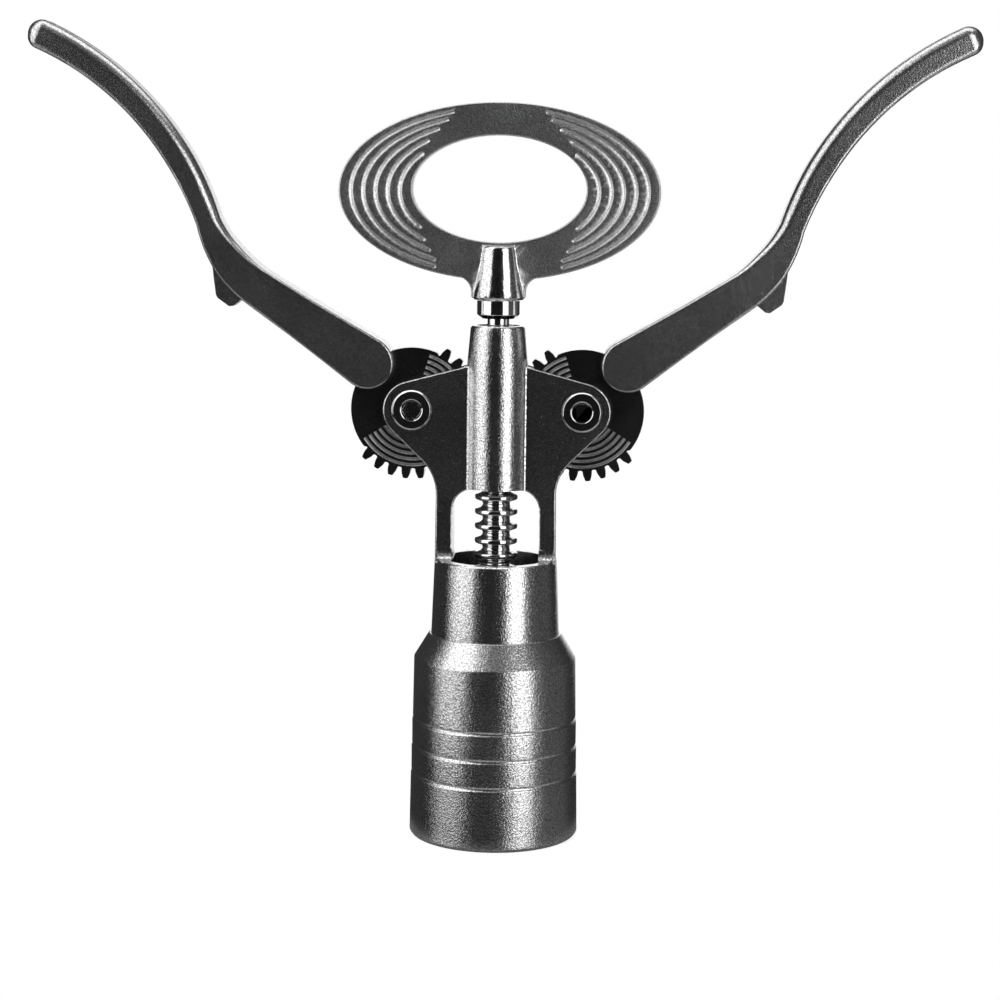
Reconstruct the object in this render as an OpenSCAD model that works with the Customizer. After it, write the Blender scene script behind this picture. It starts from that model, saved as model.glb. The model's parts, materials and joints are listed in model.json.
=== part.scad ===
// Wing corkscrew: a frame casting carries two toothed levers that lift a ring-grooved spindle,
// a ring handle turns the worm, and a telescopic bell centres the bottle.
// Origin: centre of the bell's lower rim. +Z runs up the spindle, +X towards the right lever,
// the front faces -Y. All sizes are in millimetres, and the levers are drawn raised.

/* [Gears and rack] */
// Tooth module: the rings of the rack lie this times pi apart
tooth_module = 1.4; // [1.2:0.05:1.6]
// Teeth that a full gear wheel would have
gear_teeth = 28; // [24:1:32]
// Teeth cut above the line from the pivot to the rack
teeth_above = 5; // [3:1:6]
// Teeth cut below that line
teeth_below = 11; // [10:1:12]
// Pressure angle of the teeth
pressure_angle = 20; // [14.5:0.5:22]
// Share of the pitch that a gear tooth takes along its pitch circle
tooth_share = 0.5343; // [0.46:0.0001:0.56]
// Height of a gear tooth above its pitch circle, in modules
tooth_addendum = 0.95; // [0.75:0.01:1]
// Depth of a gear tooth below its pitch circle, in modules
tooth_dedendum = 1.286; // [1.1:0.001:1.4]
// Rounding of a gear tooth's tip, in modules
tooth_tip_round = 0.393; // [0.15:0.001:0.42]
// Play between a tooth and the groove it turns in
backlash = 0.16; // [0.1:0.02:0.3]
// Thickness of a gear wheel
gear_t = 5; // [3:0.5:6]
// Height of the first rack ring above the pivots
ring_offset = 0.25; // [-1:0.05:1]
// Radius of the rack's pitch line
rack_pitch_r = 5.7; // [5.2:0.1:7]
// Height of a rack ring above its pitch line, in modules
ring_addendum = 0.536; // [0.36:0.001:0.7]
// Depth of a rack groove below its pitch line, in modules
ring_dedendum = 1.143; // [1.08:0.001:1.28]
// Rack rings above the first one
rings_above = 1; // [1:1:3]
// Rack rings below the first one
rings_below = 11; // [10:1:13]
// Engraved arcs on each face of a gear
gear_lines = 6; // [0:1:8]
// Distance from one engraved arc to the next
gear_line_step = 1.75; // [1.2:0.05:2]
// Radius of an engraved arc's round section
gear_line_r = 0.55; // [0.3:0.05:0.7]
// Depth of an engraved arc
gear_line_depth = 0.25; // [0.1:0.05:0.3]

/* [Pivots] */
// Outer radius of the sleeve nut that a gear turns on
sleeve_r = 4; // [3.5:0.1:4.5]
// Radius of the bolt's thread in the sleeve nut
bolt_r = 3; // [2.5:0.1:3.2]
// Radius of the bolt head and of the nut head
bolt_head_r = 6; // [5:0.1:6.5]
// Thickness of a head
bolt_head_t = 2.1; // [1.5:0.1:2.4]
// How far a head stands out of its recess
head_proud = 0.5; // [0:0.1:1]
// Hexagon socket, across its flats
socket_af = 5; // [4:0.5:6]
// Wall of the bush pressed into the gear
bush_wall = 1.5; // [1:0.1:2]
// Thickness of the washers beside a gear
washer_t = 0.45; // [0.3:0.05:0.8]
// Outer radius of those washers
washer_r = 7.6; // [6.5:0.1:8]

/* [Frame] */
// Thickness of the two cheeks with the gear between them
frame_t = 11.8; // [11:0.1:14]
// Radius of the cheek round a pivot
cheek_r = 8.6; // [8:0.1:9.5]
// Height where the cheeks' top edge meets the tube, above the pivots
cheek_top = 13.2; // [11:0.1:15]
// Outer radius of the tube
tube_r = 9; // [8.5:0.1:10]
// Extra depth of the tube, front to back
tube_depth = 4.8; // [2:0.1:7]
// Radius of the fillet between the tube and the cheeks
tube_fillet = 1.2; // [0.5:0.1:2]
// How much narrower the tube is at its top
tube_taper = 0.9; // [0.2:0.1:1.2]
// Length of the tube above the pivots
tube_above = 25.2; // [22:0.1:30]
// Length of the tube's cone
tube_cone_len = 10.8; // [6:0.1:11]
// Length of the tube below the pivots
tube_below = 23.3; // [22:0.1:26]
// How far a leg's outer face lies inside the skirt's top rim
leg_inset = 0.55; // [0.3:0.05:1.2]
// Width of a leg, side to side
leg_w = 4.9; // [4:0.1:6]
// Height of the window between the legs, from the skirt's rim up to the tube
window_h = 21.6; // [17:0.1:30]
// Rounding of the window's upper corners
window_round = 6.5; // [3:0.1:8]
// Height of the concave edge between the cheeks and the legs, below the pivots
waist_drop = 19.2; // [17:0.1:22]
// Radius of that concave edge
waist_r = 14; // [6:0.5:16]
// Height of the skirt that shows above the bell
skirt_show = 22.7; // [18:0.1:28]
// How much narrower the skirt is at its top rim
skirt_taper = 0.85; // [0.3:0.05:1]
// Wall of the skirt round the cork's way, inside the bell's mouth
skirt_wall = 4; // [3.3:0.1:5.3]
// Radius of the cove at the foot of each leg
cove_r = 3.6; // [1:0.1:5]

/* [Spindle and worm] */
// Radius of the smooth stem above the rack
stem_r = 3.25; // [3:0.05:3.6]
// Radius of the rod below the rack
rod_r = 4; // [3.5:0.1:4.1]
// Height of the rod's lower end
rod_end_z = 46.6; // [46:0.1:60]
// Radius of the worm's helix, to the wire's middle
worm_helix_r = 3.1; // [2.5:0.1:4]
// Radius of the worm's wire
worm_wire_r = 1.45; // [1.2:0.05:1.8]
// Rise of the worm in one turn
worm_pitch = 9.2; // [8:0.1:11]
// Height of the worm's point above the bell's rim
worm_tip_z = 1.2; // [0.6:0.1:10]
// Radius of the worm's straight shank
worm_shank_r = 2; // [1.5:0.1:2.5]
// Length of the shank inside the rod
worm_shank_len = 13; // [8:1:20]

/* [Handle] */
// Half width of the ring handle
handle_a = 47.45; // [40:0.05:55]
// Half height of the ring handle
handle_b = 26; // [23:0.1:32]
// Half width of the finger hole
hole_a = 25.7; // [20:0.1:30]
// Half height of the finger hole
hole_b = 15.65; // [13:0.05:18]
// How much higher the finger hole's middle lies than the ring's
hole_rise = 0.8; // [0:0.1:2]
// Web between the boss and the finger hole
hole_web = 0.95; // [0.5:0.05:4]
// Thickness of the ring
handle_t = 6.4; // [5:0.1:8]
// Radius of the boss at its lower end
boss_r = 8.05; // [7:0.05:9]
// Radius of the boss at its top
boss_top_r = 5.9; // [4.8:0.1:7]
// Rounding of the boss's top edge
boss_round = 1.1; // [0.5:0.1:2]
// Length of the boss
boss_len = 15.9; // [14.5:0.1:20]
// Radius of the fillet between the ring and the boss
neck_fillet = 4.6; // [2:0.1:6]
// Radius of the collar under the boss
collar_r = 6.4; // [5.5:0.1:7.5]
// Length of the collar
collar_len = 5.4; // [4:0.1:8]
// Gap between the collar and the tube while the levers are raised
collar_gap = 2; // [1:0.1:4]
// Engraved lines on each end of the ring
handle_lines = 5; // [0:1:6]
// Width of an engraved line
line_w = 1.2; // [0.6:0.1:1.6]
// Depth of an engraved line
line_depth = 0.5; // [0.2:0.05:0.8]

/* [Levers] */
// Sideways distance of a lever's round end from its pivot
lever_dx = 13.4; // [12:0.1:15]
// Height of that round end above the pivot
lever_dz = 13.8; // [12:0.1:15.5]
// Radius of the round end
lever_end_r = 7.8; // [7:0.1:8]
// Rise of the straight part, in degrees
lever_rise = 33.6; // [28:0.1:40]
// Length of the straight part
straight_len = 38.3; // [32:0.1:46]
// Radius of the bend after it
bend_r = 38.9; // [30:0.1:45]
// Angle of that bend
bend_angle = 37.8; // [30:0.1:42]
// Radius of the long curve out to the tip
curve_r = 90.5; // [75:0.5:110]
// Angle of the long curve
curve_angle = 50.3; // [40:0.1:55]
// Thickness of a lever, front to back
lever_t = 12; // [11:0.1:14]
// Half width of the straight part
straight_w = 5.7; // [5:0.1:7]
// Half width where the curve starts
curve_w = 3.6; // [3.2:0.1:4.5]
// Half width close to the tip
tip_w = 4.4; // [3.8:0.1:5.5]
// Rounding of the straight part's edges
edge_round = 0.9; // [0.4:0.1:1.5]
// Rounding of the grip's two upper edges
grip_round = 3.3; // [2:0.1:3.6]
// Rounding of the two lower edges at the tip
tip_low_round = 1.9; // [0.9:0.1:2.4]
// Thickness of the stop lug under the bend
lug_t = 7; // [5:0.5:10]

/* [Bell] */
// Outer radius of the bell's rim; the skirt and the legs follow it through the walls and steps below
bell_r = 25.6; // [25:0.1:28]
// How much narrower the bell is under its cone
bell_taper = 1.15; // [0.3:0.05:1.4]
// Length of the bell
bell_len = 61.7; // [58:0.1:63]
// Length of its cone
cone_len = 7.4; // [6:0.1:10]
// Wall of the bell at its rim, round the bottle guide
bell_wall = 2.3; // [2:0.1:3]
// Wall of the bell's mouth
mouth_wall = 0.59; // [0.4:0.01:1.5]
// Step from the bottle guide's bore in to the bore that slides on the stop ring
guide_step = 2.55; // [1.5:0.05:3.5]
// Step from that bore in to the skirt
skirt_step = 1.45; // [1.4:0.05:2.2]
// How far the bell telescopes
bell_travel = 8; // [4:0.5:9]
// Height of the lowest turned groove above the rim
groove_z = 19; // [14:0.1:24]
// Distance from one groove to the next
groove_step = 8.3; // [6:0.1:9]
// Number of turned grooves
groove_count = 3; // [1:1:3]
// Depth of a turned groove
groove_depth = 0.5; // [0.2:0.05:0.8]
// Half height of a turned groove
groove_half = 0.6; // [0.3:0.05:1]
// Height of the stop ring on the skirt's lower end
stop_ring_h = 2.7; // [2.4:0.1:4]
// Radius of the bottle guide's bore
neck_bore_r = 15.4; // [15:0.1:16]
// Wall of the bottle guide
guide_wall = 1.9; // [1.5:0.1:3]
// Length of the bottle guide
guide_len = 33; // [20:1:40]
// Radius of the cork's way through the bottle guide
cork_bore_r = 13.2; // [12.8:0.1:14]

/* [Hidden] */
$fn = 96;
run_fit = 0.06;      // running clearance on a radius
slide_fit = 0.08;    // the same for the long slides, the rack in its tube and the bell on its ring
press_fit = 0.05;    // the same for what is pressed in
side_gap = 0.1;      // side play of a gear between its washers
seat_gap = 0.3;      // gap between pieces that rest against each other
tip_gap = 0.45;      // from a gear tooth's tip to its slot
rim_step = 0.6;      // from the teeth's roots out to the plain rim of a gear
collar_play = 0.2;   // between the collar and the boss
boss_cap = 3.5;      // from the stem's end to the top of the boss
cone_rise = 3.2;     // from the foot of the bell's cone up to the cone inside it
thread_step = 1.1;   // from the skirt's face in to the stop ring's thread
seat_depth = 2;      // from the bottle guide's top down to the bottle's seat
o_ring_groove = 1.25;
o_ring_squeeze = 0.03;
tooth_pitch = PI * tooth_module;
tooth_w = tooth_share * tooth_pitch;
tip_round = tooth_tip_round * tooth_module;
gear_pitch_r = gear_teeth * tooth_module / 2;
gear_tip_r = gear_pitch_r + tooth_addendum * tooth_module;
gear_root_r = gear_pitch_r - tooth_dedendum * tooth_module;
gear_base_r = gear_pitch_r * cos(pressure_angle);
gear_rim_r = gear_root_r + rim_step;
tooth_angle = 360 / gear_teeth;
pivot_x = gear_pitch_r + rack_pitch_r;
pitch_half_angle = tooth_w / 2 / gear_pitch_r * 180 / PI;
space_angle = ring_offset / gear_pitch_r * 180 / PI;
ring_half_w = (tooth_pitch - tooth_w - backlash) / 2;
ring_tip_r = rack_pitch_r + ring_addendum * tooth_module;
rack_root_r = rack_pitch_r - ring_dedendum * tooth_module;
spindle_bore_r = ring_tip_r + slide_fit;
slot_w = gear_t + 2 * (washer_t + side_gap);
slot_r = gear_tip_r + tip_gap;
sleeve_hole_r = sleeve_r + run_fit;
bell_bore_r = bell_r - bell_wall;
bell_top_r = bell_r - bell_taper;
slide_bore_r = bell_bore_r - guide_step;
skirt_r = slide_bore_r - skirt_step;
skirt_top_r = skirt_r - skirt_taper;
skirt_bore_r = skirt_r - skirt_wall;
mouth_r = skirt_r + run_fit + mouth_wall;
leg_x = skirt_top_r - leg_inset;
window_x = leg_x - leg_w;
skirt_top_z = bell_len + skirt_show;
tube_end_z = skirt_top_z + window_h;
pivot_z = tube_end_z + tube_below;
tube_top_r = tube_r - tube_taper;
tube_top_z = pivot_z + tube_above;
collar_z = tube_top_z + collar_gap;
boss_z = collar_z + collar_len + collar_play;
ring_z = boss_z + boss_len + hole_web + hole_b - hole_rise;
stem_hole_r = stem_r + run_fit;
stem_top_z = boss_z + boss_len - boss_cap;
inner_cone_z = bell_len - cone_len + cone_rise;
stop_ring_top_z = inner_cone_z - bell_travel;
stop_ring_z = stop_ring_top_z - stop_ring_h;
stop_ring_r = slide_bore_r - slide_fit;
thread_r = skirt_r - thread_step;
guide_top_z = stop_ring_z - seat_gap;
neck_seat_z = guide_top_z - seat_depth;
guide_r = bell_bore_r - press_fit;
o_ring_groove_r = stop_ring_r - o_ring_groove;
o_ring_section_r = (slide_bore_r - o_ring_squeeze - o_ring_groove_r) / 2;

// Points of a circular arc, from angle a0 to angle a1
function arc(cx, cz, r, a0, a1, steps) =
    [for (i = [0 : steps]) let (a = a0 + (a1 - a0) * i / steps) [cx + r * cos(a), cz + r * sin(a)]];
// Points of an ellipse's arc
function ellipse_arc(a, b, t0, t1, steps) =
    [for (i = [0 : steps]) let (t = t0 + (t1 - t0) * i / steps) [a * cos(t), b * sin(t)]];
function polar(r, a) = [r * cos(a), r * sin(a)];
function mix(a, b, t) = a + (b - a) * t;
function reverse(list) = [for (i = [len(list) - 1 : -1 : 0]) list[i]];
// The same outline on the other side of the Z axis
function mirrored(list) = reverse([for (p = list) [-p[0], p[1]]]);

// Draws an XZ outline as a plate of thickness t about the XZ plane
module plate(t) {
    rotate([90, 0, 0]) linear_extrude(height = t, center = true) children();
}
// Places its children at the left pivot
module at_pivot() {
    translate([-pivot_x, 0, pivot_z]) children();
}
// Turns a left piece into the right one
module right_side() {
    rotate([0, 0, 180]) children();
}
// A round bar along Y about the pivot, between two depths
module pivot_bar(r, y0, y1) {
    translate([0, y1, 0]) rotate([90, 0, 0]) cylinder(r = r, h = y1 - y0);
}

// ---- Gear wheels ----

function involute(a) = tan(a) * 180 / PI - a;
// Half of a tooth's angle at radius r
function tooth_half(r) =
    pitch_half_angle + involute(pressure_angle) - involute(acos(min(1, gear_base_r / r)));
root_round = 0.3;
flank_start_r = gear_root_r + root_round;
flank_end_r = gear_tip_r - tip_round;
// One side of a tooth as [radius, half angle], from root to tip
tooth_side = concat(
    [[gear_root_r, tooth_half(gear_root_r) + root_round / gear_root_r * 180 / PI]],
    [for (i = [0 : 4]) let (r = mix(flank_start_r, flank_end_r, i / 4)) [r, tooth_half(r)]],
    [for (i = [1 : 3]) let (a = 30 * i)
        [flank_end_r + tip_round * sin(a),
         tooth_half(flank_end_r) - tip_round * (1 - cos(a)) / gear_tip_r * 180 / PI]]
);
function tooth(centre) = concat(
    [for (p = tooth_side) polar(p[0], centre - p[1])],
    [for (p = reverse(tooth_side)) polar(p[0], centre + p[1])]
);
first_tooth = space_angle - tooth_angle * (teeth_below - 0.5);
last_tooth = space_angle + tooth_angle * (teeth_above - 0.5);
gear_outline = concat(
    [for (i = [0 : teeth_below + teeth_above - 1]) each tooth(first_tooth + tooth_angle * i)],
    arc(0, 0, gear_rim_r, last_tooth + 0.6 * tooth_angle, 360 + first_tooth - 0.6 * tooth_angle, 40)
);

module gear() {
    rim_to_line = 1.1;
    lines_over = 1.1 * tooth_angle;
    line_height = gear_t / 2 + gear_line_r - gear_line_depth;
    color("#2b2b2d") at_pivot() difference() {
        plate(gear_t) polygon(gear_outline);
        pivot_bar(sleeve_hole_r + bush_wall, -gear_t, gear_t);
        for (side = [-1, 1], i = [0 : gear_lines - 1])
            rotate([90, 0, 0])
                rotate([0, 0, first_tooth - lines_over])
                    translate([0, 0, side * line_height])
                        rotate_extrude(angle = last_tooth - first_tooth + 2 * lines_over)
                            translate([gear_root_r - rim_to_line - gear_line_step * i, 0])
                                circle(r = gear_line_r, $fn = 24);
    }
}
module gear_left() gear();
module gear_right() right_side() gear();

module gear_bush() {
    color("#b08d57") at_pivot() difference() {
        pivot_bar(sleeve_hole_r + bush_wall, -gear_t / 2, gear_t / 2);
        pivot_bar(sleeve_hole_r, -gear_t, gear_t);
    }
}
module gear_bush_left() gear_bush();
module gear_bush_right() right_side() gear_bush();

module gear_washers() {
    color("#8d8f91") at_pivot() for (side = [-1, 1]) difference() {
        translate([0, side * (gear_t / 2 + side_gap + washer_t / 2), 0])
            pivot_bar(washer_r, -washer_t / 2, washer_t / 2);
        pivot_bar(sleeve_hole_r, -gear_t, gear_t);
    }
}
module gear_washers_left() gear_washers();
module gear_washers_right() right_side() gear_washers();

// ---- Pivot fasteners ----

// A round head with a chamfered edge and a hexagon socket, standing on the XZ plane towards -Y
module socket_head(depth) {
    chamfer = 0.5;
    dish_r = socket_af / 2 + 0.8;
    dish_depth = 0.3;
    rotate([90, 0, 0]) difference() {
        rotate_extrude() polygon([
            [0, 0], [bolt_head_r, 0], [bolt_head_r, bolt_head_t - chamfer],
            [bolt_head_r - chamfer, bolt_head_t], [dish_r, bolt_head_t],
            [dish_r - dish_depth, bolt_head_t - dish_depth], [0, bolt_head_t - dish_depth]
        ]);
        translate([0, 0, bolt_head_t - depth])
            cylinder(r = socket_af / 2 / cos(30), h = depth + 1, $fn = 6);
    }
}
head_seat_y = frame_t / 2 + head_proud - bolt_head_t;

module pivot_bolt() {
    color("#c9cbcd") at_pivot() difference() {
        union() {
            translate([0, -head_seat_y, 0]) socket_head(1.6);
            pivot_bar(bolt_r, -head_seat_y, head_seat_y - 1);
        }
        translate([0, -head_seat_y - bolt_head_t - 1, 0])
            rotate([-90, 0, 0])
                cylinder(r = socket_af / 2 / cos(30), h = 5, $fn = 6);
    }
}
module pivot_bolt_left() pivot_bolt();
module pivot_bolt_right() right_side() mirror([0, 1, 0]) pivot_bolt();

module sleeve_nut() {
    color("#c9cbcd") at_pivot() difference() {
        union() {
            translate([0, head_seat_y, 0]) rotate([0, 0, 180]) socket_head(1.6);
            pivot_bar(sleeve_r, -head_seat_y + 0.2, head_seat_y);
        }
        pivot_bar(bolt_r, -frame_t, head_seat_y);
    }
}
module sleeve_nut_left() sleeve_nut();
module sleeve_nut_right() right_side() mirror([0, 1, 0]) sleeve_nut();

// ---- Frame casting ----

tube_foot = [tube_r, pivot_z + cheek_top];
waist = [leg_x, pivot_z - waist_drop];
pivot = [pivot_x, pivot_z];
function bearing(p, q) = atan2(q[1] - p[1], q[0] - p[0]);
// Direction of the line from p that touches the cheek's round end
function tangent_dir(p, side) = bearing(p, pivot) + side * asin(cheek_r / norm(pivot - p));
top_dir = tangent_dir(tube_foot, 1);
waist_dir = tangent_dir(waist, -1);
waist_cut = waist_r * tan((90 - waist_dir) / 2);
cheek_half = concat(
    [[0, tube_foot[1]], tube_foot],
    arc(pivot_x, pivot_z, cheek_r, top_dir + 90, waist_dir - 90, 24),
    arc(leg_x + waist_r, waist[1] - waist_cut, waist_r, waist_dir + 90, 180, 10),
    [[leg_x + 0.2, skirt_top_z - 1]]
);
window_half = concat(
    arc(window_x - window_round, tube_end_z - window_round, window_round, 90, 0, 10),
    arc(window_x - 1, skirt_top_z + 1, 1, 0, -90, 4)
);

tube_profile = [
    [0, tube_end_z - 1], [tube_r, tube_end_z - 1],
    [tube_r, tube_top_z - tube_cone_len], [tube_top_r, tube_top_z - 0.6],
    [tube_top_r - 0.6, tube_top_z], [0, tube_top_z]
];
// A tube of oblong section: two turned halves with a straight stretch between them
module tube() {
    for (side = [-1, 1])
        translate([0, side * tube_depth / 2, 0]) rotate_extrude() polygon(tube_profile);
    plate(tube_depth) polygon(concat(tube_profile, mirrored(tube_profile)));
}

// Concave strips where the tube meets the cheeks, trimmed to the cheeks' top edge
module tube_fillets() {
    face_y = frame_t / 2;
    centre_y = face_y + tube_fillet;
    reach = tube_r + tube_fillet;
    drop = centre_y - tube_depth / 2;
    centre_x = sqrt(reach * reach - drop * drop);
    touch = atan2(drop, centre_x);
    intersection() {
        plate(frame_t + 4 * tube_fillet) polygon(concat(cheek_half, mirrored(cheek_half)));
        translate([0, 0, skirt_top_z])
            linear_extrude(height = tube_foot[1] - skirt_top_z) for (sx = [-1, 1], sy = [-1, 1])
                scale([sx, sy]) polygon(concat(
                    arc(centre_x, centre_y, tube_fillet, 180 + touch, 270, 6),
                    [[centre_x, face_y - 1], [4, face_y - 1], [4, centre_y]]
                ));
    }
}

module skirt() {
    mouth_top = bell_len + 1;
    rotate_extrude() polygon([
        [0, stop_ring_z], [thread_r, stop_ring_z], [thread_r, stop_ring_top_z],
        [skirt_r, stop_ring_top_z], [skirt_r, mouth_top],
        [skirt_top_r, skirt_top_z - 0.4], [skirt_top_r - 0.4, skirt_top_z], [0, skirt_top_z]
    ]);
}

// Concave foot of a leg, swept along X and trimmed to the skirt's round
module leg_coves() {
    inner_y = frame_t / 2;
    intersection() {
        cylinder(r = skirt_top_r - 0.05, h = skirt_top_z + cove_r + 1);
        for (side = [-1, 1], x = [-window_x - 6, window_x])
            translate([x, 0, 0]) rotate([90, 0, 90])
                linear_extrude(height = 6) polygon(concat(
                    [for (p = arc(inner_y + cove_r, skirt_top_z + cove_r, cove_r, 180, 270, 8))
                        [side * p[0], p[1]]],
                    [[side * (inner_y + cove_r), skirt_top_z - 1],
                     [side * (inner_y - 1), skirt_top_z - 1],
                     [side * (inner_y - 1), skirt_top_z + cove_r]]
                ));
    }
}

// What a gear and its pivot need: the slot for the wheel, the sleeve's hole and both head recesses
module pivot_cuts() {
    at_pivot() {
        pivot_bar(slot_r, -slot_w / 2, slot_w / 2);
        pivot_bar(sleeve_r, -frame_t, frame_t);
        pivot_bar(bolt_head_r + 0.1, -frame_t, -head_seat_y);
        pivot_bar(bolt_head_r + 0.1, head_seat_y, frame_t);
    }
}

module frame_casting() {
    color("#a9abad") difference() {
        union() {
            plate(frame_t) polygon(concat(cheek_half, mirrored(cheek_half)));
            tube();
            tube_fillets();
            skirt();
            leg_coves();
        }
        plate(4 * skirt_r) polygon(concat(window_half, mirrored(window_half)));
        translate([0, 0, stop_ring_z - 1])
            cylinder(r = skirt_bore_r, h = skirt_top_z - stop_ring_z + 1.2);
        translate([0, 0, tube_end_z - 2])
            cylinder(r = spindle_bore_r, h = tube_top_z - tube_end_z + 4);
        pivot_cuts();
        right_side() pivot_cuts();
    }
}

// ---- Spindle ----

ring_sum = ring_half_w * cos(pressure_angle) + rack_pitch_r * sin(pressure_angle);
ring_round = 0.464 * tooth_module;
groove_round = 0.607 * tooth_module;
// Upper half of one rack ring as [radius, height], from its crest to the groove's floor
ring_half = let (
    zt = (ring_sum - ring_round - (ring_tip_r - ring_round) * sin(pressure_angle)) / cos(pressure_angle),
    rf = rack_root_r + groove_round,
    zf = (ring_sum + groove_round - rf * sin(pressure_angle)) / cos(pressure_angle)
) concat(
    arc(ring_tip_r - ring_round, zt, ring_round, 0, 90 - pressure_angle, 5),
    arc(rf, zf, groove_round, 270 - pressure_angle, 180, 5)
);
function ring(z) = concat(
    [for (p = reverse(ring_half)) [p[0], z - p[1]]],
    [for (p = ring_half) [p[0], z + p[1]]]
);
first_ring_z = pivot_z + ring_offset;
rack_low_z = first_ring_z - (rings_below + 0.5) * tooth_pitch;
rack_high_z = first_ring_z + (rings_above + 0.5) * tooth_pitch;

module rack_spindle() {
    shank_hole = worm_shank_r + run_fit;
    color("#d5d7d9") rotate_extrude() polygon(concat(
        [[shank_hole, rod_end_z], [rod_r - 0.5, rod_end_z], [rod_r, rod_end_z + 0.5],
         [rod_r, rack_low_z], [rack_root_r, rack_low_z + 0.1]],
        [for (i = [-rings_below : rings_above]) each ring(first_ring_z + i * tooth_pitch)],
        [[rack_root_r, rack_high_z], [stem_r, rack_high_z + 0.8], [stem_r, stem_top_z - 0.5],
         [stem_r - 0.5, stem_top_z], [0, stem_top_z],
         [0, rod_end_z + worm_shank_len + 0.5], [shank_hole, rod_end_z + worm_shank_len + 0.5]]
    ));
}

// ---- Worm ----

worm_sides = 8;
rings_per_turn = 20;
shank_end_z = rod_end_z - 1;
worm_start_z = shank_end_z - 1.1;
worm_len = worm_start_z - worm_tip_z;
worm_turns = worm_len / worm_pitch;
worm_steps = ceil(worm_turns * rings_per_turn);
// Share of the full helix radius and of the full wire radius, along t from the shank (0) to the tip (1)
function worm_spread(t) = sin(90 * min(1, t * worm_turns / 0.8));
function worm_taper(t) = min(1, 0.16 + (1 - t) * worm_turns / 0.7);
function worm_point(t) = let (a = -360 * worm_turns * t, r = worm_helix_r * worm_spread(t))
    [r * cos(a), r * sin(a), worm_start_z - worm_len * t];
function worm_ring(t) = let (
    p = worm_point(t),
    d = worm_point(t + 0.001) - worm_point(t - 0.001),
    along = d / norm(d),
    side0 = cross(along, [0, 0, 1]),
    side = norm(side0) < 0.01 ? [1, 0, 0] : side0 / norm(side0),
    up = cross(side, along),
    r = worm_wire_r * worm_taper(t)
) [for (i = [0 : worm_sides - 1]) let (a = 360 / worm_sides * i) p + r * (cos(a) * side + sin(a) * up)];

// First ring, level on the shank's end, in step with the helix's own first ring
worm_lead = [for (p = worm_ring(0)) [p[0], p[1], shank_end_z]];

// Closed tube through equal rings of points
module tube_through(rings, sides) {
    last = len(rings) - 1;
    polyhedron(
        points = [for (r = rings) each r],
        faces = concat(
            [[for (i = [sides - 1 : -1 : 0]) i]],
            [for (k = [0 : last - 1], i = [0 : sides - 1]) let (
                a = k * sides + i,
                b = k * sides + (i + 1) % sides
            ) each [[b, b + sides, a], [b + sides, a + sides, a]]],
            [[for (i = [0 : sides - 1]) last * sides + i]]
        )
    );
}

module worm() {
    color("#b9bbbd") union() {
        tube_through(concat([worm_lead], [for (i = [0 : worm_steps]) worm_ring(i / worm_steps)]), worm_sides);
        translate([0, 0, shank_end_z])
            cylinder(r = worm_shank_r, h = rod_end_z - shank_end_z + worm_shank_len);
    }
}

// ---- Ring handle ----

// Engraved lines at the right end of the ring; how far they run, in degrees, falls from out to in
module handle_lines() {
    low_ends = [66, 38];
    high_ends = [72, 40];
    for (i = [0 : handle_lines - 1]) {
        share = (i + 1) / (handle_lines + 1);
        a = mix(handle_a, hole_a, share);
        b = mix(handle_b, hole_b, share);
        low = mix(low_ends[0], low_ends[1], pow(share, 1.3));
        high = mix(high_ends[0], high_ends[1], pow(share, 1.6));
        polygon(concat(
            ellipse_arc(a + line_w / 2, b + line_w / 2, -low, high, 24),
            ellipse_arc(a - line_w / 2, b - line_w / 2, high, -low, 24)
        ));
    }
}

neck_z = boss_z + 2.2;
neck_half = concat(
    [[0, boss_z + 0.6], [boss_r, boss_z + 0.6]],
    arc(boss_r + neck_fillet, neck_z, neck_fillet, 180, 90, 6),
    [[boss_r + neck_fillet, ring_z - 0.6 * handle_b], [0, ring_z - 0.6 * handle_b]]
);

module ring_handle() {
    color("#9c9ea0") difference() {
        union() {
            translate([0, 0, ring_z]) plate(handle_t) polygon(ellipse_arc(handle_a, handle_b, 0, 356.25, 95));
            plate(handle_t) polygon(concat(neck_half, mirrored(neck_half)));
            rotate_extrude() polygon(concat(
                [[0, boss_z], [boss_r - 0.8, boss_z], [boss_r, boss_z + 0.8]],
                arc(boss_top_r - boss_round, boss_z + boss_len - boss_round, boss_round, 10, 90, 5),
                [[0, boss_z + boss_len]]
            ));
        }
        translate([0, 0, ring_z + hole_rise])
            plate(4 * handle_t) polygon(ellipse_arc(hole_a, hole_b, 0, 356.25, 95));
        translate([0, 0, boss_z - 1]) cylinder(r = stem_hole_r, h = stem_top_z - boss_z + 1.3);
        for (face = [-1, 1], end = [0, 1])
            translate([0, face * handle_t / 2, ring_z])
                mirror([end, 0, 0]) plate(2 * line_depth) handle_lines();
    }
}

module handle_collar() {
    color("#c9cbcd") rotate_extrude() polygon([
        [stem_hole_r, collar_z], [collar_r - 1.6, collar_z], [collar_r, collar_z + 1.2],
        [collar_r, collar_z + collar_len], [stem_hole_r, collar_z + collar_len]
    ]);
}

// ---- Levers ----

bend_len = bend_r * bend_angle * PI / 180;
curve_len = curve_r * curve_angle * PI / 180;
lever_len = straight_len + bend_len + curve_len;
straight_end = [lever_dx, lever_dz] + straight_len * polar(1, lever_rise);
bend_centre = straight_end + bend_r * polar(1, lever_rise + 90);
bend_end_dir = lever_rise + bend_angle;
bend_end = bend_centre + bend_r * polar(1, bend_end_dir - 90);
curve_centre = bend_end + curve_r * polar(1, bend_end_dir - 90);
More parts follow.
